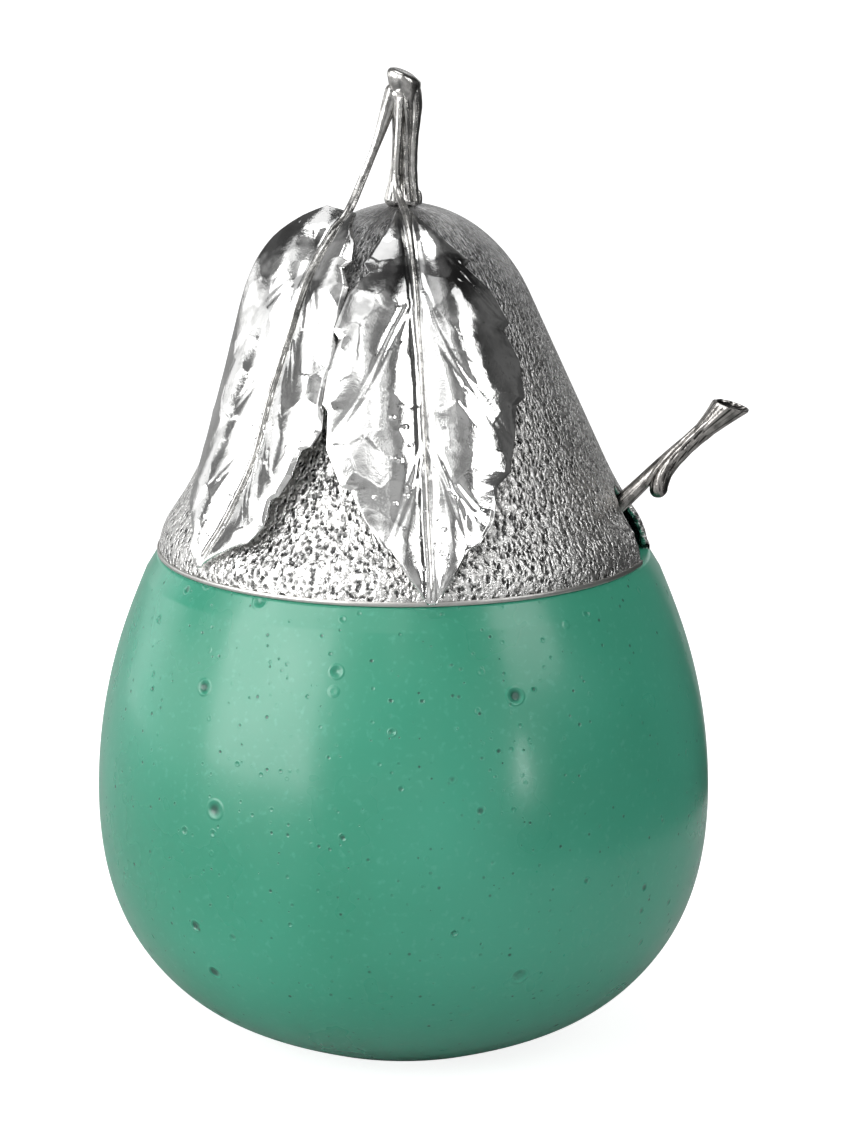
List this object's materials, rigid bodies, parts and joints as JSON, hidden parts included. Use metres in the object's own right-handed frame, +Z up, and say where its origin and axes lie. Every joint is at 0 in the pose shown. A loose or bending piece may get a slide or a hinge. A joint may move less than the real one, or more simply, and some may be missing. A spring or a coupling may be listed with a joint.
{
  "type": "jam pot",
  "caption": "Pear-shaped jam pot: round stoneware bowl, lift-off metal lid with a twig stem and two leaves, and a spoon that leans out through an arch in the lid's rim.",
  "frame": {"origin": "on the pot's axis, at the plane that the foot stands on", "axes": "+Z up along the pot's axis, the spoon leaves towards +X, the front leaf hangs on the -Y side"},
  "size_m": [0.1067, 0.1008, 0.1623],
  "materials": {
    "glaze": "gloss",
    "plate": "polished",
    "dark_plate": "aged"
  },
  "bodies": {
    "pot": {"pot": "glaze"},
    "lid": {"lid_shell": "plate", "lid_rim_band": "plate", "stem": "plate", "stem_washer": "plate", "stem_nut": "plate", "front_leaf": "plate", "front_leaf_stalk": "plate", "left_leaf": "plate", "left_leaf_stalk": "plate"},
    "spoon": {"spoon_bowl": "plate", "spoon_handle": "dark_plate"}
  },
  "joints": [
    {"name": "lid_lift", "type": "slide", "parent": "pot", "child": "lid", "axis": [0, 0, 1], "range_m": [0, 0.12]},
    {"name": "spoon_draw", "type": "slide", "parent": "pot", "child": "spoon", "axis": [0.7251, -0.0955, 0.682], "range_m": [0, 0.05]}
  ]
}
